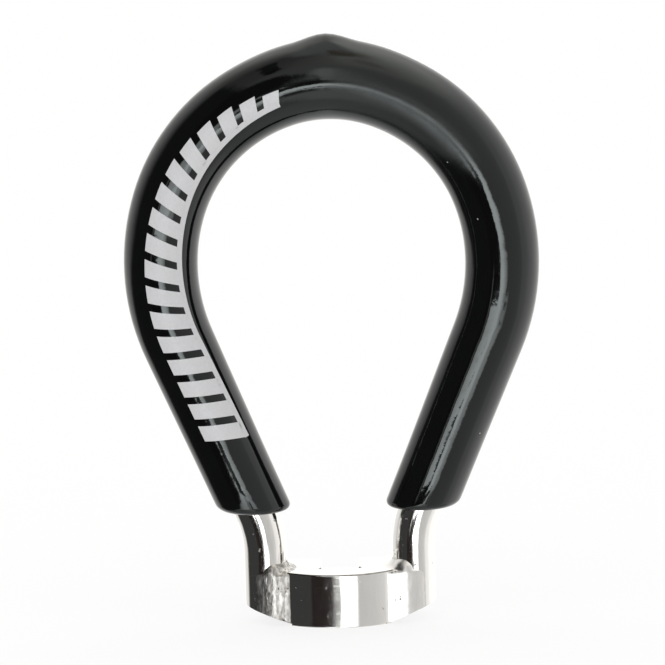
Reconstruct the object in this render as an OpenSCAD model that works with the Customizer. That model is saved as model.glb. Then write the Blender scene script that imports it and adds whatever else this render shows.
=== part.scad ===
// Loop-handled spoke wrench: a bent rod brazed to a slotted jaw, with a dipped vinyl grip.
// Frame: +Z up along the loop, the jaw's convex face towards -Y, the slot open towards +Y,
// and the origin under the middle of the foot, in the plane of the rod.

/* [Rod] */
// Diameter of the bent steel rod
rod_d = 3.7; // [3:0.1:4.2]
// Distance between the axes of the two upright legs
leg_spacing = 12.94; // [12.6:0.1:15]
// Height at which the legs start to bend outwards
leg_h = 6.4; // [5.6:0.1:9]
// Centreline radius of the bend above each leg
bend_r = 9.2; // [6:0.1:12]
// Angle at which the straight arms lean outwards
arm_lean = 22.5; // [18:0.5:28]
// Centreline radius of the arcs at the loop's sides
side_r = 17.45; // [16.5:0.05:20]
// Centreline radius of the crown's two shoulders
crown_r = 15.13; // [14:0.01:16]
// Angle from the top at which the shoulders end
crown_angle = 71; // [60:1:85]
// Centreline radius of the short arc between the shoulders
apex_r = 13.15; // [12:0.05:14]
// Angle from the top at which the shoulders begin
apex_angle = 17; // [10:1:25]

/* [Jaw head] */
// Height of the jaw
head_h = 4.75; // [4:0.05:5.2]
// Width of the jaw block between the legs
head_w = 11.2; // [10.6:0.1:12]
// Radius of the convex front face
front_r = 7.85; // [7.4:0.05:8.6]
// Depth of the jaw in front of the rod's plane
head_front = 3.36; // [3.1:0.02:3.45]
// Depth of the jaw behind the rod's plane
head_back = 2.94; // [2.6:0.02:3.4]
// Radius of the upright edges at the back of the prongs
back_edge_r = 0.8; // [0.3:0.1:1]
// Length of the flat foot under the jaw
foot_w = 7.8; // [6:0.1:9]
// Angle at which the foot's two ends rise
foot_rise = 21; // [8:1:26]

/* [Nipple slot] */
// Width across the flats of the slot
slot_w = 3.23; // [3:0.01:3.6]
// Thickness of the web between the slot and the front face
slot_web = 2.75; // [2.2:0.05:3.4]
// Radius of the relieved corners at the slot's bottom
slot_relief_r = 0.2; // [0.1:0.05:0.35]

/* [Braze] */
// Thickness of the filler film in each seat
braze_film = 0.08; // [0.05:0.01:0.15]
// Radius of the fillet where a leg leaves the top of the jaw
braze_fillet_r = 0.9; // [0.4:0.1:1.3]
// Radius of the upright fillet between the jaw's front face and a leg
crease_fillet_r = 1.7; // [0.8:0.1:2.4]

/* [Grip sleeve] */
// Height of bare leg between the jaw and the sleeve
bare_leg_h = 5.3; // [3:0.05:8]
// Wall of the sleeve at its two ends
wall_end = 1.15; // [0.9:0.05:1.5]
// Wall of the sleeve at the loop's widest place
wall_side = 1.35; // [1:0.05:1.7]
// Wall of the sleeve at the crown, away from the nub
wall_crown = 1.5; // [1.4:0.05:1.9]
// Radius of the lip at each end of the sleeve
lip_r = 0.7; // [0.3:0.05:0.85]
// Height of the drip nub at the top of the crown
nub_h = 0.65; // [0.2:0.05:1.2]
// Length of the drip nub along the crown
nub_l = 7; // [5:0.5:12]

/* [Hidden] */

// Roundness of the true round surfaces
$fn = 96;
// Overrun of cutting tools past the faces that they cut
overrun = 0.5;

rod_r = rod_d / 2;
leg_x = leg_spacing / 2;
seat_r = rod_r + braze_film;
head_depth = head_front + head_back;
front_axis_y = front_r - head_front;
slot_floor_y = slot_web - head_front;

// The centreline of one half of the loop, drawn in X and Z, from the top of the crown
// to the leg: apex arc, shoulder arc, side arc, straight arm and reverse bend.
side_angle = 90 - crown_angle + arm_lean;
crown_axis_x = -(crown_r - apex_r) * sin(apex_angle);
side_axis_x = crown_axis_x - (side_r - crown_r) * sin(crown_angle);
arm_top_x = side_axis_x + side_r * cos(arm_lean);
bend_rise = bend_r * sin(arm_lean);
bend_shift = bend_r * (1 - cos(arm_lean));
arm_l = (arm_top_x - leg_x - bend_shift) / sin(arm_lean);
side_axis_z = leg_h + bend_rise + arm_l * cos(arm_lean) + side_r * sin(arm_lean);
crown_axis_z = side_axis_z + (side_r - crown_r) * cos(crown_angle);
apex_axis_z = crown_axis_z + (crown_r - apex_r) * cos(apex_angle);
arm_top_z = side_axis_z - side_r * sin(arm_lean);

// Lengths along the centreline at which each stretch ends
function arc_l(radius, angle) = radius * angle * PI / 180;
function arc_angle(radius, length) = length / radius * 180 / PI;
apex_end = arc_l(apex_r, apex_angle);
crown_end = apex_end + arc_l(crown_r, crown_angle - apex_angle);
widest_at = crown_end + arc_l(side_r, 90 - crown_angle);
side_end = crown_end + arc_l(side_r, side_angle);
arm_end = side_end + arm_l;
bend_end = arm_end + arc_l(bend_r, arm_lean);
leg_end = bend_end + leg_h;

// Angle from straight up of the loop's outward normal, at a length from the top
function normal_angle(u) =
    u < apex_end ? arc_angle(apex_r, u) :
    u < crown_end ? apex_angle + arc_angle(crown_r, u - apex_end) :
    u < side_end ? crown_angle + arc_angle(side_r, u - crown_end) :
    u < arm_end ? 90 + arm_lean :
    u < bend_end ? 90 + arm_lean - arc_angle(bend_r, u - arm_end) :
    90;
function outward(angle) = [sin(angle), 0, cos(angle)];
function centre(u) =
    let (n = outward(normal_angle(u)))
    u < apex_end ? [0, 0, apex_axis_z] + apex_r * n :
    u < crown_end ? [crown_axis_x, 0, crown_axis_z] + crown_r * n :
    u < side_end ? [side_axis_x, 0, side_axis_z] + side_r * n :
    u < arm_end ? [arm_top_x, 0, arm_top_z]
        - (u - side_end) * [sin(arm_lean), 0, cos(arm_lean)] :
    u < bend_end ? [leg_x + bend_r, 0, leg_h] - bend_r * n :
    [leg_x, 0, leg_end - u];

// The sleeve ends level, as the dip left it, in the bend or on the arm
sleeve_z = head_h + bare_leg_h;
end_in_bend = sleeve_z < leg_h + bend_rise;
end_turn = end_in_bend ? asin(max(0, sleeve_z - leg_h) / bend_r) : arm_lean;
sleeve_end = end_in_bend
    ? arm_end + arc_l(bend_r, arm_lean - end_turn)
    : side_end + (arm_top_z - sleeve_z) / cos(arm_lean);

// A smooth step from 0 to 1
function ease(t) = let (s = min(1, max(0, t))) s * s * (3 - 2 * s);
function wall_at(u) =
    wall_crown + (wall_side - wall_crown) * ease(u / widest_at)
    + (wall_end - wall_side) * ease((u - widest_at) / (sleeve_end - widest_at));
// What the rounded lip takes off the radius near the sleeve's end
function lip_cut(u) =
    let (t = min(1, max(0, (u - sleeve_end + lip_r) / lip_r)))
    lip_r * (1 - sqrt(1 - t * t));
// The drip nub: a broad bump that fades along the crown and round the tube
function nub_at(u, turn) =
    u >= nub_l / 2 ? 0 : nub_h * pow(cos(180 * u / nub_l), 2) * pow(max(0, cos(turn)), 4);
function sleeve_r(u, turn) = rod_r + wall_at(u) - lip_cut(u) + nub_at(u, turn);

// Points round each section, the first one on the loop's outer side
section_sides = 28;
turns = [for (i = [0 : section_sides - 1]) 360 * i / section_sides];

// One section of a swept skin. Square to the centreline, or swung by a share towards
// level, as the dip left the sleeve's two ends. side is 1 on the right half, -1 on the left.
function section(u, side, radii, level_share = 0) =
    let (angle = normal_angle(u), n = outward(angle), along = [-n.z, 0, n.x])
    let (slope = level_share > 0 ? level_share * tan(angle - 90) : 0)
    [for (i = [0 : section_sides - 1])
        let (r = radii[i], across = r * cos(turns[i]) * (n + slope * along))
        let (p = centre(u) + across + [0, r * sin(turns[i]), 0])
        [side * p.x, p.y, p.z]];
function rod_section(u, side, level_share = 0) =
    section(u, side, [for (turn = turns) rod_r], level_share);
function sleeve_section(u, side) =
    let (swing_l = 2 * rod_d, level_share = ease((u - sleeve_end + swing_l) / swing_l))
    section(u, side, [for (turn = turns) sleeve_r(u, turn)], level_share);

// Stations along one half, from the top of the crown: evenly spaced on each arc
arc_step = 5;
function along_arc(from, to, angle) =
    let (steps = ceil(angle / arc_step))
    [for (i = [1 : steps]) from + (to - from) * i / steps];
rod_stations = concat(
    [0],
    along_arc(0, apex_end, apex_angle),
    along_arc(apex_end, crown_end, crown_angle - apex_angle),
    along_arc(crown_end, side_end, side_angle),
    [arm_end],
    along_arc(arm_end, bend_end, arm_lean));
body_steps = 34;
lip_steps = 6;
skin_stations = concat(
    [for (i = [0 : body_steps]) (sleeve_end - lip_r) * i / body_steps],
    [for (i = [1 : lip_steps]) sleeve_end - lip_r * (1 - sin(90 * i / lip_steps))]);
bore_stations = [for (u = rod_stations) if (u < sleeve_end - rod_r) u];

// Triangles between neighbouring sections, the first of them at point number first
function walls(count, first, inside = false) =
    let (m = section_sides)
    [for (k = [0 : count - 2], i = [0 : m - 1])
        let (a = first + k * m + i, b = first + k * m + (i + 1) % m)
        each inside ? [[a, b + m, b], [a, a + m, b + m]] : [[a, b, b + m], [a, b + m, a + m]]];

// Joins each half's sections, given from the top down, into one run from left to right
function both_halves(left, right) =
    concat([for (k = [len(left) - 1 : -1 : 1]) left[k]], right);

// Outline of the jaw block seen from above, before seats and slot are cut
module jaw_outline() {
    intersection() {
        translate([0, front_axis_y]) circle(r = front_r);
        union() {
            translate([-head_w / 2, -head_front])
                square([head_w, head_depth - back_edge_r]);
            translate([back_edge_r - head_w / 2, -head_front])
                square([head_w - 2 * back_edge_r, head_depth]);
            for (side = [-1, 1])
                translate([side * (head_w / 2 - back_edge_r), head_back - back_edge_r])
                    circle(r = back_edge_r);
        }
    }
}

// Where the upright fillet's axis stands: as far from the jaw's front face as from the leg
crease_jaw_r = front_r + crease_fillet_r;
crease_leg_r = rod_r + crease_fillet_r;
axes_gap = norm([leg_x, front_axis_y]);
axes_dir = [leg_x, -front_axis_y] / axes_gap;
crease_along = (crease_jaw_r ^ 2 - crease_leg_r ^ 2 + axes_gap ^ 2) / (2 * axes_gap);
crease_off = sqrt(crease_jaw_r ^ 2 - crease_along ^ 2);
crease_axis = [0, front_axis_y] + crease_along * axes_dir + crease_off * [axes_dir.y, -axes_dir.x];

// The filler in the upright crease, seen from above: what lies between the three circles
module crease_outline() {
    difference() {
        polygon([[0, front_axis_y], crease_axis, [leg_x, 0]]);
        translate([0, front_axis_y]) circle(r = front_r);
        translate([leg_x, 0]) circle(r = rod_r);
        translate(crease_axis) circle(r = crease_fillet_r);
    }
}

// The slot with its relieved corners, seen from above
module slot_outline() {
    translate([-slot_w / 2, slot_floor_y])
        square([slot_w, head_back - slot_floor_y + overrun]);
    for (side = [-1, 1])
        translate([side * slot_w / 2, slot_floor_y])
            circle(r = slot_relief_r);
}

// The two wedges that make the foot rise at its ends
module foot_wedges() {
    reach = leg_x + rod_r + overrun;
    for (side = [0, 1])
        mirror([side, 0, 0])
            translate([foot_w / 2, head_depth, 0])
                rotate([90, 0, 0])
                    linear_extrude(height = 2 * head_depth)
                        polygon([
                            [0, 0],
                            [reach, reach * tan(foot_rise)],
                            [reach, -overrun],
                            [0, -overrun]]);
}

module jaw_head() {
    color("lightsteelblue")
        difference() {
            linear_extrude(height = head_h)
                difference() {
                    jaw_outline();
                    slot_outline();
                    for (side = [-1, 1])
                        translate([side * leg_x, 0]) circle(r = seat_r);
                }
            foot_wedges();
        }
}

// The bar with square ends, before the foot is ground
module whole_rod() {
    stations = concat(rod_stations, [leg_end]);
    sections = both_halves(
        [for (u = stations) rod_section(u, -1)],
        [for (u = stations) rod_section(u, 1)]);
    last = (len(sections) - 1) * section_sides;
    start_face = [for (i = [section_sides - 1 : -1 : 0]) i];
    end_face = [for (i = [0 : section_sides - 1]) last + i];
    polyhedron(
        [for (ring = sections) each ring],
        concat([start_face], walls(len(sections), 0), [end_face]));
}

module handle_rod() {
    color("silver")
        difference() {
            whole_rod();
            foot_wedges();
        }
}

// Filler round one leg: the film in the seat, the fillet on top of the jaw and the one
// in the upright crease at the front. Drawn for the right leg.
module braze() {
    color("gainsboro")
        difference() {
            union() {
                intersection() {
                    translate([leg_x, 0, 0])
                        rotate_extrude()
                            difference() {
                                union() {
                                    translate([rod_r, 0])
                                        square([braze_film, head_h]);
                                    translate([rod_r, head_h])
                                        square([braze_fillet_r, braze_fillet_r]);
                                }
                                translate([rod_r + braze_fillet_r, head_h + braze_fillet_r])
                                    circle(r = braze_fillet_r);
                            }
                    linear_extrude(height = head_h + braze_fillet_r) {
                        jaw_outline();
                        crease_outline();
                    }
                }
                linear_extrude(height = head_h)
                    crease_outline();
            }
            foot_wedges();
        }
}

module braze_left() { mirror([1, 0, 0]) braze(); }

module braze_right() { braze(); }

// A tube round the bar: the outer skin, the bore, and the level ring at each end
module grip_sleeve() {
    skin = both_halves(
        [for (u = skin_stations) sleeve_section(u, -1)],
        [for (u = skin_stations) sleeve_section(u, 1)]);
    bore = both_halves(
        [for (u = bore_stations) rod_section(u, -1), rod_section(sleeve_end, -1, 1)],
        [for (u = bore_stations) rod_section(u, 1), rod_section(sleeve_end, 1, 1)]);
    m = section_sides;
    first_bore = len(skin) * m;
    skin_end = first_bore - m;
    bore_end = first_bore + (len(bore) - 1) * m;
    start_ring = [for (i = [0 : m - 1])
        let (j = (i + 1) % m)
        each [[j, i, first_bore + i], [j, first_bore + i, first_bore + j]]];
    end_ring = [for (i = [0 : m - 1])
        let (j = (i + 1) % m)
        each [
            [skin_end + i, skin_end + j, bore_end + j],
            [skin_end + i, bore_end + j, bore_end + i]]];
    color("dimgray")
        polyhedron(
            [for (ring = concat(skin, bore)) each ring],
            concat(
                walls(len(skin), 0),
                walls(len(bore), first_bore, inside = true),
                start_ring,
                end_ring));
}

jaw_head();
handle_rod();
braze_left();
braze_right();
grip_sleeve();
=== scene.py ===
import math

import bmesh
import bpy
from mathutils import Matrix, Vector


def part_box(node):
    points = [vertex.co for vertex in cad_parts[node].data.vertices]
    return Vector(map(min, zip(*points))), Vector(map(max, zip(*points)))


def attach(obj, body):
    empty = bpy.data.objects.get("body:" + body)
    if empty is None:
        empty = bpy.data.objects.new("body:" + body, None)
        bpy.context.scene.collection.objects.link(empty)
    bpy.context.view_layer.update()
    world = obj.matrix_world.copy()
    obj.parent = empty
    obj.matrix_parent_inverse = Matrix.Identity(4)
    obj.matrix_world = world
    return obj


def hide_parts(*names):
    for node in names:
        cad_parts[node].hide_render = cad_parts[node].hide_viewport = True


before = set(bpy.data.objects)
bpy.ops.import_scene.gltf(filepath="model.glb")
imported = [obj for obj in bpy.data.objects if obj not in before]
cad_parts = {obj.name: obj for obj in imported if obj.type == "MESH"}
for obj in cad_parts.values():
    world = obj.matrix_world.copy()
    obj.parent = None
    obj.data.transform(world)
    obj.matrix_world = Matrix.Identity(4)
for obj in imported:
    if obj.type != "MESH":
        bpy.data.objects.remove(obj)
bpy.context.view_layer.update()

# Handle rod: one steel bar, bent cold round formers into a teardrop loop that ends in two upright
# legs. Its right half is bent here and mirrored, its feet are ground to the slanted ends of the
# jaw's underside, and it is plated with bright nickel-chrome.
mm = 0.001
near = 0.01 * mm
seam_gap = 0.02 * mm
rod_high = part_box("handle_rod")[1]
rod_r = rod_high.y
rod_sides = 96
leg_x = 6.47 * mm
leg_h = 6.4 * mm
bend_r = 9.2 * mm
arm_lean = math.radians(22.5)
side_r = 17.45 * mm
crown_r = 15.13 * mm
crown_angle = math.radians(71)
apex_r = 13.15 * mm
apex_angle = math.radians(17)
side_angle = math.radians(90) - crown_angle + arm_lean
apex_axis_z = rod_high.z - rod_r - apex_r
crown_axis_x = (apex_r - crown_r) * math.sin(apex_angle)
crown_axis_z = apex_axis_z - (crown_r - apex_r) * math.cos(apex_angle)
side_axis_x = crown_axis_x - (side_r - crown_r) * math.sin(crown_angle)
side_axis_z = crown_axis_z - (side_r - crown_r) * math.cos(crown_angle)
arm_foot_x = leg_x + bend_r * (1 - math.cos(arm_lean))
arm_foot_z = leg_h + bend_r * math.sin(arm_lean)
arm_top_x = side_axis_x + side_r * math.cos(arm_lean)
arm_l = (arm_top_x - arm_foot_x) / math.sin(arm_lean)
arm_steps = 6
turn_per_step = math.radians(2.5)
grinding_spare = rod_r
foot_half = 3.9 * mm
foot_rise = math.radians(21)


def take(piece):
    """Leaves edit mode if need be, and makes a piece the only one selected."""
    if bpy.context.mode != "OBJECT":
        bpy.ops.object.mode_set(mode="OBJECT")
    bpy.ops.object.select_all(action="DESELECT")
    piece.select_set(True)
    bpy.context.view_layer.objects.active = piece


def open_mesh(piece):
    """Opens a piece's mesh with nothing selected."""
    take(piece)
    bpy.ops.object.mode_set(mode="EDIT")
    bpy.ops.mesh.select_all(action="DESELECT")


def apply_modifier(piece, kind, **settings):
    """Adds a modifier to a piece and applies it."""
    take(piece)
    modifier = piece.modifiers.new(kind.lower(), kind)
    for name, value in settings.items():
        setattr(modifier, name, value)
    bpy.ops.object.modifier_apply(modifier=modifier.name)


def settle(piece, smooth_angle=math.radians(40)):
    """Moves a finished piece's place into its mesh, faces it outwards and smooths it."""
    open_mesh(piece)
    bpy.ops.mesh.select_all(action="SELECT")
    bpy.ops.mesh.normals_make_consistent(inside=False)
    take(piece)
    bpy.ops.object.transform_apply(location=True, rotation=True, scale=True)
    bpy.ops.object.shade_smooth_by_angle(angle=smooth_angle)


def bend_bar(axis_x, axis_z, angle):
    """Spins the open end of a bar about an axis along Y, outwards if the angle is positive."""
    steps = math.ceil(abs(angle) / turn_per_step)
    bpy.ops.mesh.spin(steps=steps, angle=-angle, center=(axis_x, 0, axis_z), axis=(0, 1, 0))


def grind_feet(piece):
    """Cuts a piece off at the two slanted ends of the tool's foot and closes the cuts."""
    open_mesh(piece)
    for side in (-1, 1):
        bpy.ops.mesh.select_all(action="SELECT")
        bpy.ops.mesh.bisect(
            plane_co=(side * foot_half, 0, 0),
            plane_no=(-side * math.sin(foot_rise), 0, math.cos(foot_rise)),
            clear_inner=True, use_fill=True)


bpy.ops.object.select_all(action="DESELECT")
bpy.ops.mesh.primitive_circle_add(
    vertices=rod_sides, radius=rod_r, location=(leg_x, 0, -grinding_spare))
rod = bpy.context.object
rod.name = "bent_rod"
bpy.ops.object.transform_apply(location=True)
open_mesh(rod)
bpy.ops.mesh.select_all(action="SELECT")
leg_run = (0, 0, grinding_spare + leg_h)
bpy.ops.mesh.extrude_region_move(TRANSFORM_OT_translate={"value": leg_run})
bend_bar(leg_x + bend_r, leg_h, arm_lean)
arm_run = arm_l * Vector((math.sin(arm_lean), 0, math.cos(arm_lean)))
for _ in range(arm_steps):
    bpy.ops.mesh.extrude_region_move(TRANSFORM_OT_translate={"value": arm_run / arm_steps})
bend_bar(side_axis_x, side_axis_z, -side_angle)
bend_bar(crown_axis_x, crown_axis_z, apex_angle - crown_angle)
bend_bar(0, apex_axis_z, -apex_angle)
apply_modifier(rod, "MIRROR", merge_threshold=seam_gap)
grind_feet(rod)
settle(rod)


def wire(tree, kind, inputs=(), **settings):
    """Adds a node to a tree, with its settings and its inputs: a value, or another node's output."""
    node = tree.nodes.new(kind)
    for name, value in settings.items():
        setattr(node, name, value)
    for name, value in dict(inputs).items():
        if isinstance(value, bpy.types.NodeSocket):
            tree.links.new(value, node.inputs[name])
        else:
            node.inputs[name].default_value = value
    return node


def calculate(tree, operation, *values):
    """The result of an operation on values, each a number or another node's output."""
    return wire(tree, "ShaderNodeMath", enumerate(values), operation=operation).outputs[0]


def spread(tree, value, start, end, first=0.0, last=1.0, shape="LINEAR"):
    """Turns a value from start to end into one from first to last, held beyond both."""
    sockets = {"Value": value, "From Min": start, "From Max": end, "To Min": first, "To Max": last}
    return wire(tree, "ShaderNodeMapRange", sockets, interpolation_type=shape).outputs["Result"]


def blend(tree, share, below, above):
    """Mixes two colours, each a triple or another node's output."""
    mix = wire(tree, "ShaderNodeMix", {"Factor": share}, data_type="RGBA")
    for socket, colour in ((mix.inputs[6], below), (mix.inputs[7], above)):
        if isinstance(colour, bpy.types.NodeSocket):
            tree.links.new(colour, socket)
        else:
            socket.default_value = (*colour, 1)
    return mix.outputs[2]


def noise(tree, per_mm, detail=2.0, stretch=(1, 1, 1)):
    """Soft noise from 0 to 1 on the object itself, with so many features in a millimetre."""
    place = wire(tree, "ShaderNodeTexCoord").outputs["Object"]
    place = wire(tree, "ShaderNodeMapping", {"Vector": place, "Scale": stretch}).outputs[0]
    sockets = {"Vector": place, "Scale": per_mm / mm, "Detail": detail}
    return wire(tree, "ShaderNodeTexNoise", sockets).outputs[0]


def dots(tree, per_mm, size, share):
    """1 on small round dots, in a share of the cells of a grid with so many cells in a millimetre."""
    place = wire(tree, "ShaderNodeTexCoord").outputs["Object"]
    cells = wire(tree, "ShaderNodeTexVoronoi", {"Vector": place, "Scale": per_mm / mm})
    lot = wire(tree, "ShaderNodeSeparateColor", {0: cells.outputs["Color"]}).outputs[0]
    inside = spread(tree, cells.outputs["Distance"], size, 0.6 * size)
    return calculate(tree, "MULTIPLY", inside, calculate(tree, "LESS_THAN", lot, share))


def start_finish(name, amounts):
    """Starts a finish, a node group whose inputs are amounts with their usual values."""
    tree = bpy.data.node_groups.new(name, "ShaderNodeTree")
    for amount, usual in amounts.items():
        socket = tree.interface.new_socket(amount, in_out="INPUT", socket_type="NodeSocketFloat")
        socket.default_value = usual
    for output, kind in (
            ("Color", "NodeSocketColor"),
            ("Roughness", "NodeSocketFloat"),
            ("Normal", "NodeSocketVector")):
        tree.interface.new_socket(output, in_out="OUTPUT", socket_type=kind)
    return tree, wire(tree, "NodeGroupInput").outputs


def end_finish(tree, tint, dull, relief, depth, strength=1):
    """Ends a finish with its colour, its roughness, and a bump from a relief that is so deep."""
    bump = wire(tree, "ShaderNodeBump", {"Strength": strength, "Distance": depth, "Height": relief})
    wire(tree, "NodeGroupOutput", {"Color": tint, "Roughness": dull, "Normal": bump.outputs[0]})


def finish_with(piece, name, finish, amounts, constants):
    """Gives a piece a material of a finish in such amounts, with constants on its shader."""
    material = bpy.data.materials.new(name)
    material.use_nodes = True
    tree = material.node_tree
    shader = tree.nodes["Principled BSDF"]
    for socket, value in constants.items():
        shader.inputs[socket].default_value = value
    skin = wire(tree, "ShaderNodeGroup", amounts, node_tree=finish)
    for source, target in (("Color", "Base Color"), ("Roughness", "Roughness"), ("Normal", "Normal")):
        tree.links.new(skin.outputs[source], shader.inputs[target])
    piece.data.materials.clear()
    piece.data.materials.append(material)
    return tree, shader


# The plating, which rod, jaw and braze share, has slow ripples and fine scratches from the
# polishing wheel, pits where the steel was pitted, and soot in whatever was left streaky.
metal = {"Metallic": 1}
clean_plate = (0.84, 0.83, 0.815)
aged_plate = (0.79, 0.775, 0.75)
soot = (0.3, 0.28, 0.26)
pit_floor = (0.12, 0.1, 0.09)
plate_relief = 0.02 * mm
grain_depth = 0.16
pit_depth = 0.8
scratch_dulling = 0.08
pit_dulling = 0.4
pit_stain = 0.7
plating, given = start_finish("plating", {"Ripple": 1, "Streaks": 0, "Pits": 0.35, "Dullness": 0.05})
ripple = noise(plating, per_mm=0.9, stretch=(1, 1, 0.15))
grain = noise(plating, per_mm=5, detail=3, stretch=(1, 1, 0.7))
streaks = noise(plating, per_mm=4, detail=4, stretch=(1, 1, 0.22))
scratches = noise(plating, per_mm=1.2, detail=4, stretch=(1, 1, 14))
pitted = calculate(plating, "GREATER_THAN", given["Pits"], noise(plating, per_mm=1.1))
pits = calculate(plating, "MULTIPLY", dots(plating, per_mm=3.2, size=0.3, share=1), pitted)
relief = calculate(plating, "MULTIPLY_ADD", grain, grain_depth, ripple)
relief = calculate(plating, "MULTIPLY", relief, given["Ripple"])
relief = calculate(plating, "MULTIPLY_ADD", streaks, given["Streaks"], relief)
relief = calculate(plating, "MULTIPLY_ADD", pits, -pit_depth, relief)
scratched = spread(plating, scratches, 0.55, 0.75)
dull = calculate(plating, "MULTIPLY_ADD", scratched, scratch_dulling, given["Dullness"])
dull = calculate(plating, "MULTIPLY_ADD", pits, pit_dulling, dull)
sooty = spread(plating, streaks, 0.4, 0.65, 0.75, 0.15)
sooty = calculate(plating, "MULTIPLY", given["Streaks"], sooty)
tint = blend(plating, noise(plating, per_mm=0.35, detail=3), clean_plate, aged_plate)
tint = blend(plating, sooty, tint, soot)
tint = blend(plating, calculate(plating, "MULTIPLY", pits, pit_stain), tint, pit_floor)
end_finish(plating, tint, dull, relief, plate_relief)
rod_amounts = {"Ripple": 0.5, "Streaks": 0.1, "Pits": 0.37, "Dullness": 0.07}
finish_with(rod, "plated_rod", plating, rod_amounts, metal)
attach(rod, "root")
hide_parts("handle_rod")

# Grip sleeve: the loop was dipped, crown down, into liquid vinyl and cured. The coat is thickest
# at the crown, where it drained last and left a drip nub, and it ends level on both arms.
sleeve_low, sleeve_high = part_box("grip_sleeve")
dip_z = sleeve_low.z
wall_crown = sleeve_high.y - rod_r
wall_side = sleeve_high.x - side_axis_x - side_r - rod_r
wall_end = 1.15 * mm
lip_r = 0.7 * mm
nub_h = sleeve_high.z - rod_high.z - wall_crown
nub_reach = 3.1 * mm
nub_spare = 0.01 * mm
swell_h = 0.2 * mm
swell_reach = 9 * mm
crown_spot = 0.2 * mm
arm_foot = Vector((arm_foot_x, 0, arm_foot_z))


def copy_mesh(source, name):
    """Makes a new piece with its own copy of another's mesh."""
    piece = bpy.data.objects.new(name, source.data.copy())
    piece.matrix_world = source.matrix_world
    bpy.context.scene.collection.objects.link(piece)
    return piece


def pick_points(piece, wanted):
    """Selects, in edit mode, the points whose place passes the test."""
    bpy.ops.mesh.select_mode(type="VERT")
    shape = bmesh.from_edit_mesh(piece.data)
    for point in shape.verts:
        point.select_set(wanted(point.co))
    shape.select_flush(True)
    bmesh.update_edit_mesh(piece.data)


def pick_edges(piece, wanted):
    """Selects, in edit mode, the edges that pass the test."""
    bpy.ops.mesh.select_mode(type="EDGE")
    shape = bmesh.from_edit_mesh(piece.data)
    for edge in shape.edges:
        edge.select_set(wanted(edge))
    shape.select_flush(True)
    bmesh.update_edit_mesh(piece.data)


def up_the_arm(place):
    """Distance of a point above the foot of the straight arm, measured along the arm."""
    from_foot = Vector((abs(place.x), 0, place.z)) - arm_foot
    return from_foot.x * math.sin(arm_lean) + from_foot.z * math.cos(arm_lean)


def wall_at(height):
    """Wall of the coat where the bar's centreline has a height: from crown to side, then to the end."""
    if height > side_axis_z:
        rise_share = min(1, (height - side_axis_z) / (rod_high.z - rod_r - side_axis_z))
        share = math.acos(rise_share) / math.radians(90)
        first, last = wall_crown, wall_side
    else:
        share = min(1, (side_axis_z - height) / (side_axis_z - dip_z))
        first, last = wall_side, wall_end
    return first + (last - first) * share * share * (3 - 2 * share)


sleeve = copy_mesh(rod, "vinyl_sleeve")
open_mesh(sleeve)
pick_points(sleeve, lambda place: up_the_arm(place) < -near)
bpy.ops.mesh.delete(type="VERT")
take(sleeve)
coat = sleeve.vertex_groups.new(name="coat")
for point in sleeve.data.vertices:
    wall = wall_at(point.co.z - rod_r * point.normal.z)
    coat.add([point.index], wall / wall_crown, "REPLACE")
apply_modifier(
    sleeve, "SOLIDIFY", thickness=wall_crown, offset=1, vertex_group="coat", use_rim=False)

# Each end is brought level at the height of the dip and closed, and its lip is rounded.
open_mesh(sleeve)
for side in (-1, 1):
    end_run = Vector((side * math.tan(arm_lean), 0, 1)) * (dip_z - arm_foot_z)
    end_middle = Vector((side * arm_foot_x, 0, arm_foot_z)) + end_run
    pick_points(sleeve, lambda place: place.x * side > 0 and abs(up_the_arm(place)) < near)
    bpy.ops.transform.translate(value=end_run)
    bpy.ops.transform.resize(value=(1 / math.cos(arm_lean) ** 2, 1, 0), center_override=end_middle)
    pick_edges(sleeve, lambda edge: edge.is_boundary and edge.verts[0].co.x * side > 0)
    bpy.ops.mesh.bridge_edge_loops()
    pick_edges(sleeve, lambda edge: all(
        abs(point.co.z - dip_z) < near and point.co.x * side > 0
        and (point.co - end_middle).length > rod_r + wall_end / 2 for point in edge.verts))
    bpy.ops.mesh.bevel(offset=lip_r, segments=6, profile=0.5)

# The crown swells a little, and the drip nub stands on its middle.
pick_points(sleeve, lambda place: place.z > rod_high.z + wall_crown / 2
            and abs(place.x) < crown_spot and abs(place.y) < crown_spot)
for rise, reach in ((swell_h, swell_reach), (nub_h - swell_h - nub_spare, nub_reach)):
    bpy.ops.transform.translate(
        value=(0, 0, rise), use_proportional_edit=True, use_proportional_connected=True,
        proportional_edit_falloff="SMOOTH", proportional_size=reach)
settle(sleeve)
apply_modifier(sleeve, "WEIGHTED_NORMAL", keep_sharp=True)

# The vinyl has slow waves and finer ones from curing, specks of dust and faint smears, and it is
# duller on the right shoulder, where a thumb has rubbed it.
vinyl_black = (0.0022, 0.0022, 0.0024)
vinyl_grey = (0.0036, 0.0038, 0.004)
dust = (0.42, 0.42, 0.4)
vinyl_relief = 0.05 * mm
fine_wave_h = 0.09
speck_h = 0.6
speck_dulling = 0.4
smear_dulling = 0.06
thumb_at = Vector((8.5 * mm, sleeve_low.y, sleeve_high.z - 4.5 * mm))
thumb_reach = 10.5 * mm
thumb_dulling = 0.17
vinyl_amounts = {"Waves": 1, "Dullness": 0.05}
dip_skin, given = start_finish("dip_skin", vinyl_amounts)
slow_waves = noise(dip_skin, per_mm=0.22)
fine_waves = noise(dip_skin, per_mm=1.6, detail=3)
specks = dots(dip_skin, per_mm=0.42, size=0.035, share=0.35)
relief = calculate(dip_skin, "MULTIPLY_ADD", fine_waves, fine_wave_h, slow_waves)
relief = calculate(dip_skin, "MULTIPLY", relief, given["Waves"])
relief = calculate(dip_skin, "MULTIPLY_ADD", specks, speck_h, relief)
smears = noise(dip_skin, per_mm=0.5, detail=4, stretch=(1, 1, 0.4))
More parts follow.
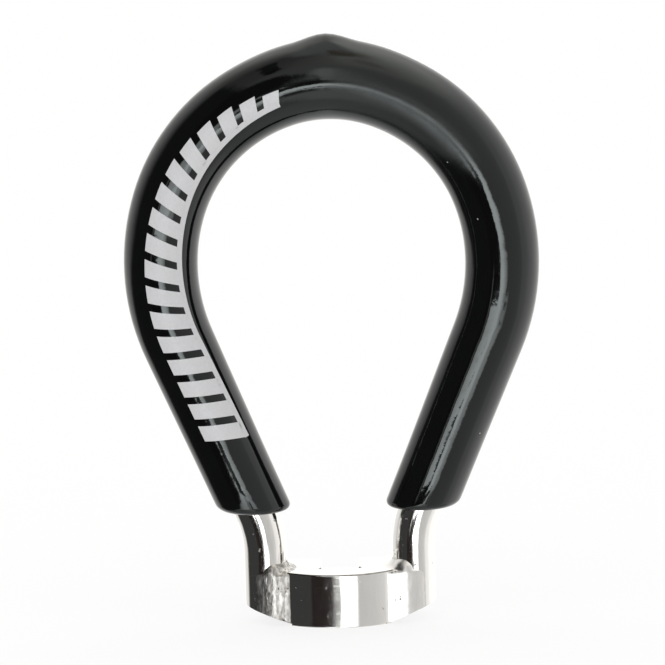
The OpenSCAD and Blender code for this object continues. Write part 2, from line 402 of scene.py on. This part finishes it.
smears = spread(dip_skin, smears, 0.5, 0.8, 0, smear_dulling)
place = wire(dip_skin, "ShaderNodeTexCoord").outputs["Object"]
from_thumb = wire(dip_skin, "ShaderNodeVectorMath", {0: place, 1: thumb_at}, operation="DISTANCE")
rubbed = spread(
    dip_skin, from_thumb.outputs["Value"], thumb_reach, 0.45 * thumb_reach, 0, thumb_dulling,
    "SMOOTHSTEP")
dull = calculate(dip_skin, "ADD", smears, rubbed)
dull = calculate(dip_skin, "ADD", dull, given["Dullness"])
dull = calculate(dip_skin, "MULTIPLY_ADD", specks, speck_dulling, dull)
tint = blend(dip_skin, noise(dip_skin, per_mm=0.3), vinyl_black, vinyl_grey)
tint = blend(dip_skin, specks, tint, dust)
end_finish(dip_skin, tint, dull, relief, vinyl_relief)
finish_with(
    sleeve, "dipped_vinyl", dip_skin, vinyl_amounts, {"IOR": 1.5, "Specular Tint": (0.94, 1, 0.99, 1)})
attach(sleeve, "root")
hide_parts("grip_sleeve")

# Marking: an even row of slanted silver bars on a thin rule, pad-printed along the left arm as a
# plain grip pattern. The ink is a thin raised film that follows the sleeve.
ink_t = 0.02 * mm
ink_lift = 0.006 * mm
rule_w = 0.5 * mm
rule_lap = 0.2 * mm
rule_start = math.radians(17)
rule_drift = math.radians(0.86) / mm
bar_l = 1.45 * mm
bar_pitch = 2.15 * mm
bar_count = 17
bar_slant = 0.32
print_from = 4.4 * mm
print_l = bar_pitch * (bar_count - 1) + bar_l
narrow_top = math.radians(4)
broad_top = math.radians(23)
broad_from = 17 * mm
sleeve_r = rod_r + wall_side


def on_sleeve(run, turn):
    """Point of the sleeve's left half, at a length from the top and an angle outwards from its front."""
    for axis_x, axis_z, radius, start, end in (
            (0, apex_axis_z, apex_r, 0, apex_angle),
            (crown_axis_x, crown_axis_z, crown_r, apex_angle, crown_angle),
            (side_axis_x, side_axis_z, side_r, crown_angle, crown_angle + side_angle)):
        arc_l = radius * (end - start)
        lean = start + min(run, arc_l) / radius
        outwards = Vector((-math.sin(lean), 0, math.cos(lean)))
        centre = Vector((-axis_x, 0, axis_z)) + radius * outwards
        if run <= arc_l:
            break
        run -= arc_l
    else:
        centre += run * Vector((math.sin(arm_lean), 0, -math.cos(arm_lean)))
    radius = rod_r + wall_at(centre.z)
    return centre + radius * (math.sin(turn) * outwards + math.cos(turn) * Vector((0, -1, 0)))


def rule_turn(run):
    """Angle of the rule's inner edge, which drifts inwards along the arm."""
    return -(rule_start + rule_drift * run)


def rule_corner(along, across):
    """Corner of the rule, at shares of its length and of its width."""
    run = print_from + print_l * along
    return on_sleeve(run, rule_turn(run) + across * rule_w / sleeve_r)


def ink_patch(shape, corner_at, columns, rows):
    """Adds a grid of faces whose corners come from two shares, along and across."""
    grid = []
    for i in range(columns + 1):
        grid.append([shape.verts.new(corner_at(i / columns, j / rows)) for j in range(rows + 1)])
    for i in range(columns):
        for j in range(rows):
            shape.faces.new((grid[i][j], grid[i + 1][j], grid[i + 1][j + 1], grid[i][j + 1]))


marking_mesh = bpy.data.meshes.new("grip_marking")
shape = bmesh.new()
ink_patch(shape, rule_corner, columns=150, rows=3)
for bar in range(bar_count):
    bar_from = print_from + bar_pitch * bar
    bar_foot = rule_turn(bar_from) + (rule_w - rule_lap) / sleeve_r
    broad_share = min(1, bar_pitch * bar / (broad_from - print_from))
    bar_top = narrow_top + (broad_top - narrow_top) * math.sin(math.radians(90) * broad_share)
    bar_turn = bar_top - bar_foot

    def bar_corner(along, across):
        """Corner of this bar, at shares of its length and of its height."""
        run = bar_from + bar_l * along - bar_slant * bar_turn * sleeve_r * across
        return on_sleeve(run, bar_foot + bar_turn * across)

    ink_patch(shape, bar_corner, columns=8, rows=24)
shape.to_mesh(marking_mesh)
shape.free()
marking = bpy.data.objects.new("grip_marking", marking_mesh)
bpy.context.scene.collection.objects.link(marking)
apply_modifier(
    marking, "SHRINKWRAP", target=sleeve, wrap_method="NEAREST_SURFACEPOINT",
    wrap_mode="ABOVE_SURFACE", offset=ink_lift)
apply_modifier(marking, "SOLIDIFY", thickness=ink_t, offset=1)
settle(marking)
silver_dark = (0.54, 0.54, 0.55)
silver_light = (0.64, 0.64, 0.65)
ink_relief = 0.01 * mm
speckle_strength = 0.3
speckle_dulling = 0.2
ink_amounts = {"Dullness": 0.3}
ink, given = start_finish("ink", ink_amounts)
speckle = noise(ink, per_mm=5, detail=4)
dull = calculate(ink, "MULTIPLY_ADD", speckle, speckle_dulling, given["Dullness"])
tint = blend(ink, speckle, silver_dark, silver_light)
end_finish(ink, tint, dull, speckle, ink_relief, speckle_strength)
finish_with(marking, "silver_ink", ink, ink_amounts, {"IOR": 1.45})
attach(marking, "root")

# Jaw: a short steel block milled from bar, with a turned front, a slot for the spoke nipple and
# two round seats for the legs. Every edge is broken before plating.
jaw_low, jaw_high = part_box("jaw_head")
front_r = 7.85 * mm
front_sides = 360
front_axis_y = jaw_low.y + front_r
back_edge_r = 0.8 * mm
foot_round = 1.2 * mm
slot_w = 3.23 * mm
slot_wall = 2.75 * mm
slot_floor_y = jaw_low.y + slot_wall
relief_r = 0.2 * mm
relief_sides = 32
seat_gap = 0.08 * mm
seat_r = rod_r + seat_gap
broken_edge = 0.13 * mm
sharp_angle = math.radians(35)
overrun = 0.5 * mm
bpy.ops.object.select_all(action="DESELECT")
bpy.ops.mesh.primitive_cylinder_add(
    vertices=front_sides, radius=front_r, depth=jaw_high.z, location=(0, front_axis_y, jaw_high.z / 2))
jaw = bpy.context.object
jaw.name = "jaw"
bpy.ops.object.transform_apply(location=True)
open_mesh(jaw)
for plane, facing in (
        ((jaw_high.x, 0, 0), (1, 0, 0)),
        ((jaw_low.x, 0, 0), (-1, 0, 0)),
        ((0, jaw_high.y, 0), (0, 1, 0)),
        ((foot_half, 0, 0), (math.sin(foot_rise), 0, -math.cos(foot_rise))),
        ((-foot_half, 0, 0), (-math.sin(foot_rise), 0, -math.cos(foot_rise)))):
    bpy.ops.mesh.select_all(action="SELECT")
    bpy.ops.mesh.bisect(plane_co=plane, plane_no=facing, clear_outer=True, use_fill=True)
pick_edges(jaw, lambda edge: all(
    abs(point.co.y - jaw_high.y) < near and abs(abs(point.co.x) - jaw_high.x) < near
    for point in edge.verts))
bpy.ops.mesh.bevel(offset=back_edge_r, segments=8, profile=0.5)
pick_edges(jaw, lambda edge: all(
    abs(point.co.z) < near and abs(abs(point.co.x) - foot_half) < near for point in edge.verts))
bpy.ops.mesh.bevel(offset=foot_round, segments=6, profile=0.5)
take(jaw)


def cut_from_jaw(cutter):
    """Cuts a tool's shape out of the jaw and takes the tool away."""
    apply_modifier(jaw, "BOOLEAN", operation="DIFFERENCE", object=cutter, solver="EXACT")
    bpy.data.objects.remove(cutter)


bpy.ops.object.select_all(action="DESELECT")
bpy.ops.mesh.primitive_cube_add(
    size=1, location=(0, (slot_floor_y + jaw_high.y + overrun) / 2, jaw_high.z / 2),
    scale=(slot_w, jaw_high.y + overrun - slot_floor_y, jaw_high.z + 2 * overrun))
cut_from_jaw(bpy.context.object)
for x, y, radius, sides in (
        (-slot_w / 2, slot_floor_y, relief_r, relief_sides),
        (slot_w / 2, slot_floor_y, relief_r, relief_sides),
        (-leg_x, 0, seat_r, rod_sides),
        (leg_x, 0, seat_r, rod_sides)):
    bpy.ops.object.select_all(action="DESELECT")
    bpy.ops.mesh.primitive_cylinder_add(
        vertices=sides, radius=radius, depth=jaw_high.z + 2 * overrun, location=(x, y, jaw_high.z / 2))
    cut_from_jaw(bpy.context.object)
apply_modifier(
    jaw, "BEVEL", width=broken_edge, segments=3, limit_method="ANGLE", angle_limit=sharp_angle,
    use_clamp_overlap=False)
settle(jaw, sharp_angle)
apply_modifier(jaw, "WEIGHTED_NORMAL", keep_sharp=True)

# Painted shade: the slot's two reliefs and a thin line along the broken top edge of the front are
# darkened in the colour, standing in for the shade and dark reflection there.
painted_shade = (0.1, 0.085, 0.075)
jaw_amounts = {"Ripple": 0.25, "Streaks": 0.05, "Pits": 0.34, "Dullness": 0.07}
tree, shader = finish_with(jaw, "plated_jaw", plating, jaw_amounts, metal)
place = wire(tree, "ShaderNodeTexCoord").outputs["Object"]
place = wire(tree, "ShaderNodeSeparateXYZ", {0: place}).outputs
facing = wire(tree, "ShaderNodeNewGeometry").outputs["Normal"]
facing = wire(tree, "ShaderNodeSeparateXYZ", {0: facing}).outputs
from_side = calculate(tree, "SUBTRACT", calculate(tree, "ABSOLUTE", place["X"]), slot_w / 2)
from_side = calculate(tree, "POWER", from_side, 2)
from_floor = calculate(tree, "SUBTRACT", place["Y"], slot_floor_y)
from_floor = calculate(tree, "POWER", from_floor, 2)
from_relief = calculate(tree, "SQRT", calculate(tree, "ADD", from_side, from_floor))
in_relief = spread(tree, from_relief, 1.5 * relief_r, 0.9 * relief_r)
not_level = spread(tree, facing["Z"], 0.98, 0.85)
not_upright = spread(tree, facing["Z"], 0.1, 0.35)
at_front = spread(tree, place["Y"], front_axis_y - 0.6 * front_r, front_axis_y - 0.7 * front_r)
patchy = spread(tree, noise(tree, per_mm=1.5, detail=3), 0.3, 0.6, 0.95, 0.6)
on_edge = calculate(tree, "MULTIPLY", not_level, not_upright)
on_edge = calculate(tree, "MULTIPLY", on_edge, at_front)
on_edge = calculate(tree, "MULTIPLY", on_edge, patchy)
# Where the painted shade goes: the reliefs, and the patchy line along the front's top edge.
painted_shade_share = calculate(tree, "MAXIMUM", in_relief, on_edge)
plated_colour = shader.inputs["Base Color"].links[0].from_socket
tree.links.new(blend(tree, painted_shade_share, plated_colour, painted_shade), shader.inputs["Base Color"])
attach(jaw, "root")
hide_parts("jaw_head")

# Braze: brass filler run in by hand between jaw and legs, and plated over. Each bead has a cheek
# in front of its leg and a heel where the leg leaves the jaw. The left one is rough and streaky,
# and the right one was smoothed.
cheek_r = 4.45 * mm
cheek_axis = Vector((5.13, 2.23)) * mm
cheek_from = math.radians(8)
cheek_to = math.radians(31)
cheek_steps = 12
fill_back = Vector((leg_x + 0.5 * rod_r, -0.9 * mm))
fill_taper = 0.2 * mm
fill_top_z = jaw_high.z - 0.1 * mm
heel_r = 1.05 * mm
heel_at = Vector((5.8, -1.1, 4.62)) * mm
heel_shift = -0.15 * mm
same_point = 0.001 * mm
voxel = 0.05 * mm
lump_w = 0.5 * mm
flow_rounds = 60
bead_angle = math.radians(60)
rough_fill = {"Ripple": 1.3, "Streaks": 1.2, "Pits": 0.36, "Dullness": 0.34}
smooth_fill = {"Ripple": 0.5, "Streaks": 0.15, "Pits": 0.38, "Dullness": 0.3}


def fill_outline(first):
    """The fill's outline seen from above, on the right: jaw end, arc round the leg's front, back."""
    corners = [Vector(first)]
    for step in range(cheek_steps + 1):
        turn = cheek_from + (cheek_to - cheek_from) * step / cheek_steps
        corners.append(cheek_axis + cheek_r * Vector((math.sin(turn), -math.cos(turn))))
    corners.append(fill_back)
    corners.append(Vector((first[0] + fill_taper, fill_back.y)))
    return corners


for side, node_name, first, lump_h, amounts in (
        (-1, "braze_left", (4.35 * mm, -2.0 * mm), 0.06 * mm, rough_fill),
        (1, "braze_right", (4.0 * mm, -2.2 * mm), 0.02 * mm, smooth_fill)):
    bead = copy_mesh(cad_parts[node_name], node_name + "_bead")
    open_mesh(bead)
    bpy.ops.mesh.select_all(action="SELECT")
    bpy.ops.mesh.remove_doubles(threshold=same_point)
    take(bead)
    shape = bmesh.new()
    shape.from_mesh(bead.data)
    corners = [shape.verts.new((side * corner.x, corner.y, 0)) for corner in fill_outline(first)]
    bottom = shape.faces.new(corners)
    top = bmesh.ops.extrude_face_region(shape, geom=[bottom])
    for item in top["geom"]:
        if isinstance(item, bmesh.types.BMVert):
            item.co.z = fill_top_z
    heel = Matrix.Translation((side * heel_at.x + heel_shift, heel_at.y, heel_at.z))
    bmesh.ops.create_uvsphere(shape, u_segments=48, v_segments=24, radius=heel_r, matrix=heel)
    shape.to_mesh(bead.data)
    shape.free()
    settle(bead)
    apply_modifier(bead, "REMESH", mode="VOXEL", voxel_size=voxel)
    grind_feet(bead)
    apply_modifier(bead, "SMOOTH", factor=0.5, iterations=flow_rounds)
    lumpy = bpy.data.textures.new(node_name, "CLOUDS")
    lumpy.noise_scale = lump_w
    apply_modifier(bead, "DISPLACE", texture=lumpy, strength=lump_h, mid_level=0.45)
    settle(bead, bead_angle)
    finish_with(bead, node_name, plating, amounts, metal)
    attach(bead, "root")
    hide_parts(node_name)

# Floor: a matt white paper, which shows nearly white to the camera and keeps the tool's shadow.
# The plating doesn't mirror it, because the studio below holds the light that it gives.
floor_size = 4
paper_glow = 0.75
bpy.ops.object.select_all(action="DESELECT")
bpy.ops.mesh.primitive_plane_add(size=floor_size)
floor = bpy.context.object
floor.name = "floor"
floor.visible_glossy = False
white = bpy.data.materials.new("white_floor")
white.use_nodes = True
floor.data.materials.append(white)
paper = white.node_tree
matt = paper.nodes["Principled BSDF"]
matt.inputs["Base Color"].default_value = (1, 1, 1, 1)
matt.inputs["Roughness"].default_value = 0.9
lit_paper = wire(paper, "ShaderNodeEmission", {"Color": (1, 1, 1, 1), "Strength": 1})
to_camera = wire(paper, "ShaderNodeLightPath").outputs["Is Camera Ray"]
to_camera = calculate(paper, "MULTIPLY", to_camera, paper_glow)
both = wire(paper, "ShaderNodeMixShader", {0: to_camera, 1: matt.outputs[0], 2: lit_paper.outputs[0]})
paper.links.new(both.outputs[0], paper.nodes["Material Output"].inputs["Surface"])

# Studio: soft light by direction, which the plating and the vinyl mirror, while matt surfaces get
# plain white. A black flag stands left of the camera, with a tall strip light past its right edge.
# Azimuth is 0 at the camera and grows to the right; height is 0 at the level. Both are in degrees.
brightest = 6.0
warm = (1, 0.99, 0.97)
warmer = (1, 0.99, 0.93)
cool = (0.96, 1, 1)
rafter_brown = (0.45, 0.38, 0.28)
flag_black = (0.024, 0.019, 0.018)
flag_grey = (0.18, 0.17, 0.16)
world = bpy.data.worlds.new("studio")
world.use_nodes = True
world.cycles.sampling_method = "NONE"
bpy.context.scene.world = world
sky = world.node_tree
sky.nodes.clear()


def fade(value, start, end):
    """0 at start and 1 at end, smooth between them."""
    return spread(sky, value, start, end, shape="SMOOTHSTEP")


def all_of(*shares):
    """The product of shares."""
    product = shares[0]
    for share in shares[1:]:
        product = calculate(sky, "MULTIPLY", product, share)
    return product


def most_of(first, second):
    """The greater of two shares."""
    return calculate(sky, "MAXIMUM", first, second)


def patch(left, right, low, high):
    """1 inside a patch of the studio. Each edge is two angles: where it starts, and where it is full."""
    return all_of(fade(azimuth, *left), fade(azimuth, *right), fade(height, *low), fade(height, *high))


def lit(level, tint=(1, 1, 1)):
    """A level of light in a tint, as a share of the brightest."""
    return tuple(level / brightest * part for part in tint)


def levels(angle, half_turn, stops, tint=(1, 1, 1)):
    """Light by angle, through stops of an angle in degrees and a level, in a tint."""
    ramp = wire(sky, "ShaderNodeValToRGB", {"Fac": spread(sky, angle, -half_turn, half_turn)})
    for stop_angle, level in stops:
        stop = ramp.color_ramp.elements.new((stop_angle + half_turn) / (2 * half_turn))
        stop.color = (*lit(level, tint), 1)
    ramp.color_ramp.elements.remove(ramp.color_ramp.elements[0])
    ramp.color_ramp.elements.remove(ramp.color_ramp.elements[-1])
    return ramp.outputs["Color"]


def outline(angle, half_turn, stops):
    """An edge's angle in degrees by another angle, through stops of both."""
    lifted = [(stop_angle, brightest * (edge + 180) / 360) for stop_angle, edge in stops]
    return calculate(sky, "MULTIPLY_ADD", levels(angle, half_turn, lifted), 360, -180)


def add_light(first, second):
    """The sum of two lights."""
    return wire(sky, "ShaderNodeVectorMath", {0: first, 1: second}, operation="ADD").outputs[0]


def dim(light, share):
    """A light times a share."""
    return wire(sky, "ShaderNodeVectorMath", {0: light, "Scale": share}, operation="SCALE").outputs[0]


direction = wire(sky, "ShaderNodeTexCoord").outputs["Generated"]
direction = wire(sky, "ShaderNodeSeparateXYZ", {0: direction}).outputs
forward = calculate(sky, "MULTIPLY", direction["Y"], -1)
azimuth = calculate(sky, "DEGREES", calculate(sky, "ARCTAN2", direction["X"], forward))
height = calculate(sky, "DEGREES", calculate(sky, "ARCSINE", direction["Z"]))

# The room: its walls, the bright upper walls, a ceiling with two brown rafters, and the paper
# below, with a paler sheet on it in front.
ceiling_level = 0.9
sheet_level = 0.5
room = levels(azimuth, 180, (
    (-179.9, 1.3), (-162, 1.25), (-148, 1), (-118, 0.9), (-100, 0.45), (-50, 0.4), (-20, 0.6),
    (0, 0.72), (12, 0.6), (45, 0.68), (59, 0.78), (63, 1.03), (78, 1.1), (90, 1.3), (120, 1.35),
    (150, 1.25), (179.9, 1.3)), warm)
upper = levels(azimuth, 180, (
    (-179.9, 1.05), (-150, 1.35), (-115, 0.65), (-80, 0.3), (-35, 0.4), (-10, 0.66), (5, 0.8),
    (16, 1.2), (50, 1.35), (90, 1.8), (120, 2), (147, 2), (165, 1.3), (179.9, 1.05)), warmer)
below = levels(azimuth, 180, (
    (-179.9, 1.3), (-135, 0.9), (-100, 0.4), (-60, 0.65), (0, 0.8), (60, 0.75), (105, 0.6),
    (150, 1.1), (179.9, 1.3)))
rafter = patch((2, 14), (95, 80), (70, 73), (82, 79))
lower_rafter = patch((22, 27), (43, 38), (51, 54), (64, 61))
sheet = patch((-36, -16), (12, 4), (-62, -50), (-20, -28))
room = blend(sky, fade(height, 38, 50), room, upper)
room = blend(sky, fade(height, 72, 80), room, lit(ceiling_level))
room = blend(sky, most_of(rafter, lower_rafter), room, lit(1, rafter_brown))
room = add_light(room, all_of(sheet, sheet_level / brightest))
room = blend(sky, fade(height, -42, -58), room, below)

# The flag: black cloth with uneven edges, a slit, a greyer left end and a greyer lower right
# corner, and the boom that it hangs from. The camera and its stand are dark beside it.
left_end_level = 0.045
slit_level = 0.9
flag_left = outline(height, 90, ((-89.9, -122), (-25, -120), (0, -96), (89.9, -94)))
flag_right = outline(height, 90, (
    (-89.9, -80), (-50, -66), (-45, -60), (-35, -38), (-25, -21), (-19, -15), (-17.6, -14),
    (-15.6, 1), (-13.1, 1), (-12.3, -10), (-8.6, -6), (-6.5, -17), (-4.5, -25), (1.5, -25),
    (3, -0.5), (89.9, -1)))
flag_top = outline(azimuth, 180, (
    (-179.9, 54), (-90, 54), (-60, 52), (-40, 44), (-30, 38), (-16, 35), (-8, 27), (-3, 18),
    (0, 8), (179.9, 4)))
past_left = calculate(sky, "SUBTRACT", azimuth, flag_left)
past_right = calculate(sky, "SUBTRACT", azimuth, flag_right)
past_top = calculate(sky, "SUBTRACT", height, flag_top)
flag = all_of(
    fade(past_left, -9, 9), fade(past_right, 0, -1.2), fade(past_top, 3, -3), fade(height, -56, -46))
boom = all_of(
    fade(azimuth, -86, -70), fade(azimuth, -22, -30), fade(past_top, 8, 10), fade(past_top, 17, 15))
slit = patch((-31, -30), (-27, -28), (-9, -7), (8, 4))
grey_corner = all_of(fade(azimuth, -11, -9), fade(height, -10.5, -12))
stand = patch((0.2, 0.9), (4.2, 3.2), (-27, -22), (-15.8, -17))
camera_body = patch((-4.5, -3.5), (0.8, 0.1), (-8, -6), (4.5, 2.5))
kit = most_of(stand, camera_body)
cloth = blend(sky, fade(azimuth, -40, -36), lit(left_end_level), lit(1, flag_black))
cloth = blend(sky, grey_corner, cloth, lit(1, flag_grey))
cloth = blend(sky, slit, cloth, lit(slit_level))
room = blend(sky, most_of(kit, most_of(flag, boom)), room, cloth)

# The strip light: bright at the flag's edge, and weaker to its right, upwards and downwards. In
# strip_fall the brightest level stands for all of its light. Three things in front dim it.
strip = levels(past_right, 45, (
    (-44.9, 0), (-1, 0), (0.3, 5.6), (8, 5.6), (14, 4), (20.5, 1.9), (22, 0), (44.9, 0)), cool)
strip_fall = levels(height, 90, (
    (-89.9, 0), (-62, 0), (-45, 0.3), (-38, 0.7), (-30, 1.8), (-24, 3), (-18, 5), (-13, 6),
    (-8, 5.6), (-5, 4.8), (-2, 3.8), (1, 2.6), (4, 1.2), (8, 0), (89.9, 0)))
left_dimming = all_of(fade(azimuth, -9, -5), fade(height, -34, -30), fade(height, -16, -18), 0.6)
right_dimming = all_of(fade(azimuth, -1, 4), fade(height, -34, -30), fade(height, -10.5, -13), 0.45)
upper_dimming = all_of(fade(azimuth, 1, 1.8), fade(azimuth, 8, 5), fade(height, -5, -3), 0.5)
dimming = most_of(most_of(left_dimming, upper_dimming), right_dimming)
clear = all_of(calculate(sky, "SUBTRACT", 1, kit), calculate(sky, "SUBTRACT", 1, dimming))
light = add_light(room, dim(dim(strip, strip_fall), clear))

# A weak lamp above the camera, and what the rays see: mirrors the studio, and all else white.
lamp = levels(azimuth, 45, ((-44.9, 0), (-7, 0), (-2, 0.8), (2, 0.8), (7, 0), (44.9, 0)))
lamp_fall = all_of(fade(height, 2, 12), fade(height, 40, 30))
light = add_light(light, dim(lamp, lamp_fall))
to_mirror = wire(sky, "ShaderNodeLightPath").outputs["Is Glossy Ray"]
mirrored = wire(sky, "ShaderNodeBackground", {"Color": light, "Strength": brightest})
plain = wire(sky, "ShaderNodeBackground", {"Color": (1, 1, 1, 1), "Strength": 1})
seen = wire(sky, "ShaderNodeMixShader", {0: to_mirror, 1: plain.outputs[0], 2: mirrored.outputs[0]})
wire(sky, "ShaderNodeOutputWorld", {"Surface": seen.outputs[0]})

# Camera: a long lens in front of the tool and a little above it, as the photograph was taken.
camera_distance = 290 * mm
camera_rise = math.radians(9.9)
camera_roll = math.radians(1.61)
aim = Vector((-0.085, 0, 25.47)) * mm
camera_data = bpy.data.cameras.new("camera")
camera_data.sensor_width = 36
camera_data.lens = 181.85
camera_data.clip_start = 10 * mm
camera = bpy.data.objects.new("camera", camera_data)
bpy.context.scene.collection.objects.link(camera)
back = Vector((0, -math.cos(camera_rise), math.sin(camera_rise)))
camera.matrix_world = (
    Matrix.Translation(aim + camera_distance * back)
    @ Matrix.Rotation(math.radians(90) - camera_rise, 4, "X")
    @ Matrix.Rotation(-camera_roll, 4, "Z"))
bpy.context.scene.camera = camera
bpy.context.scene.view_settings.view_transform = "Standard"
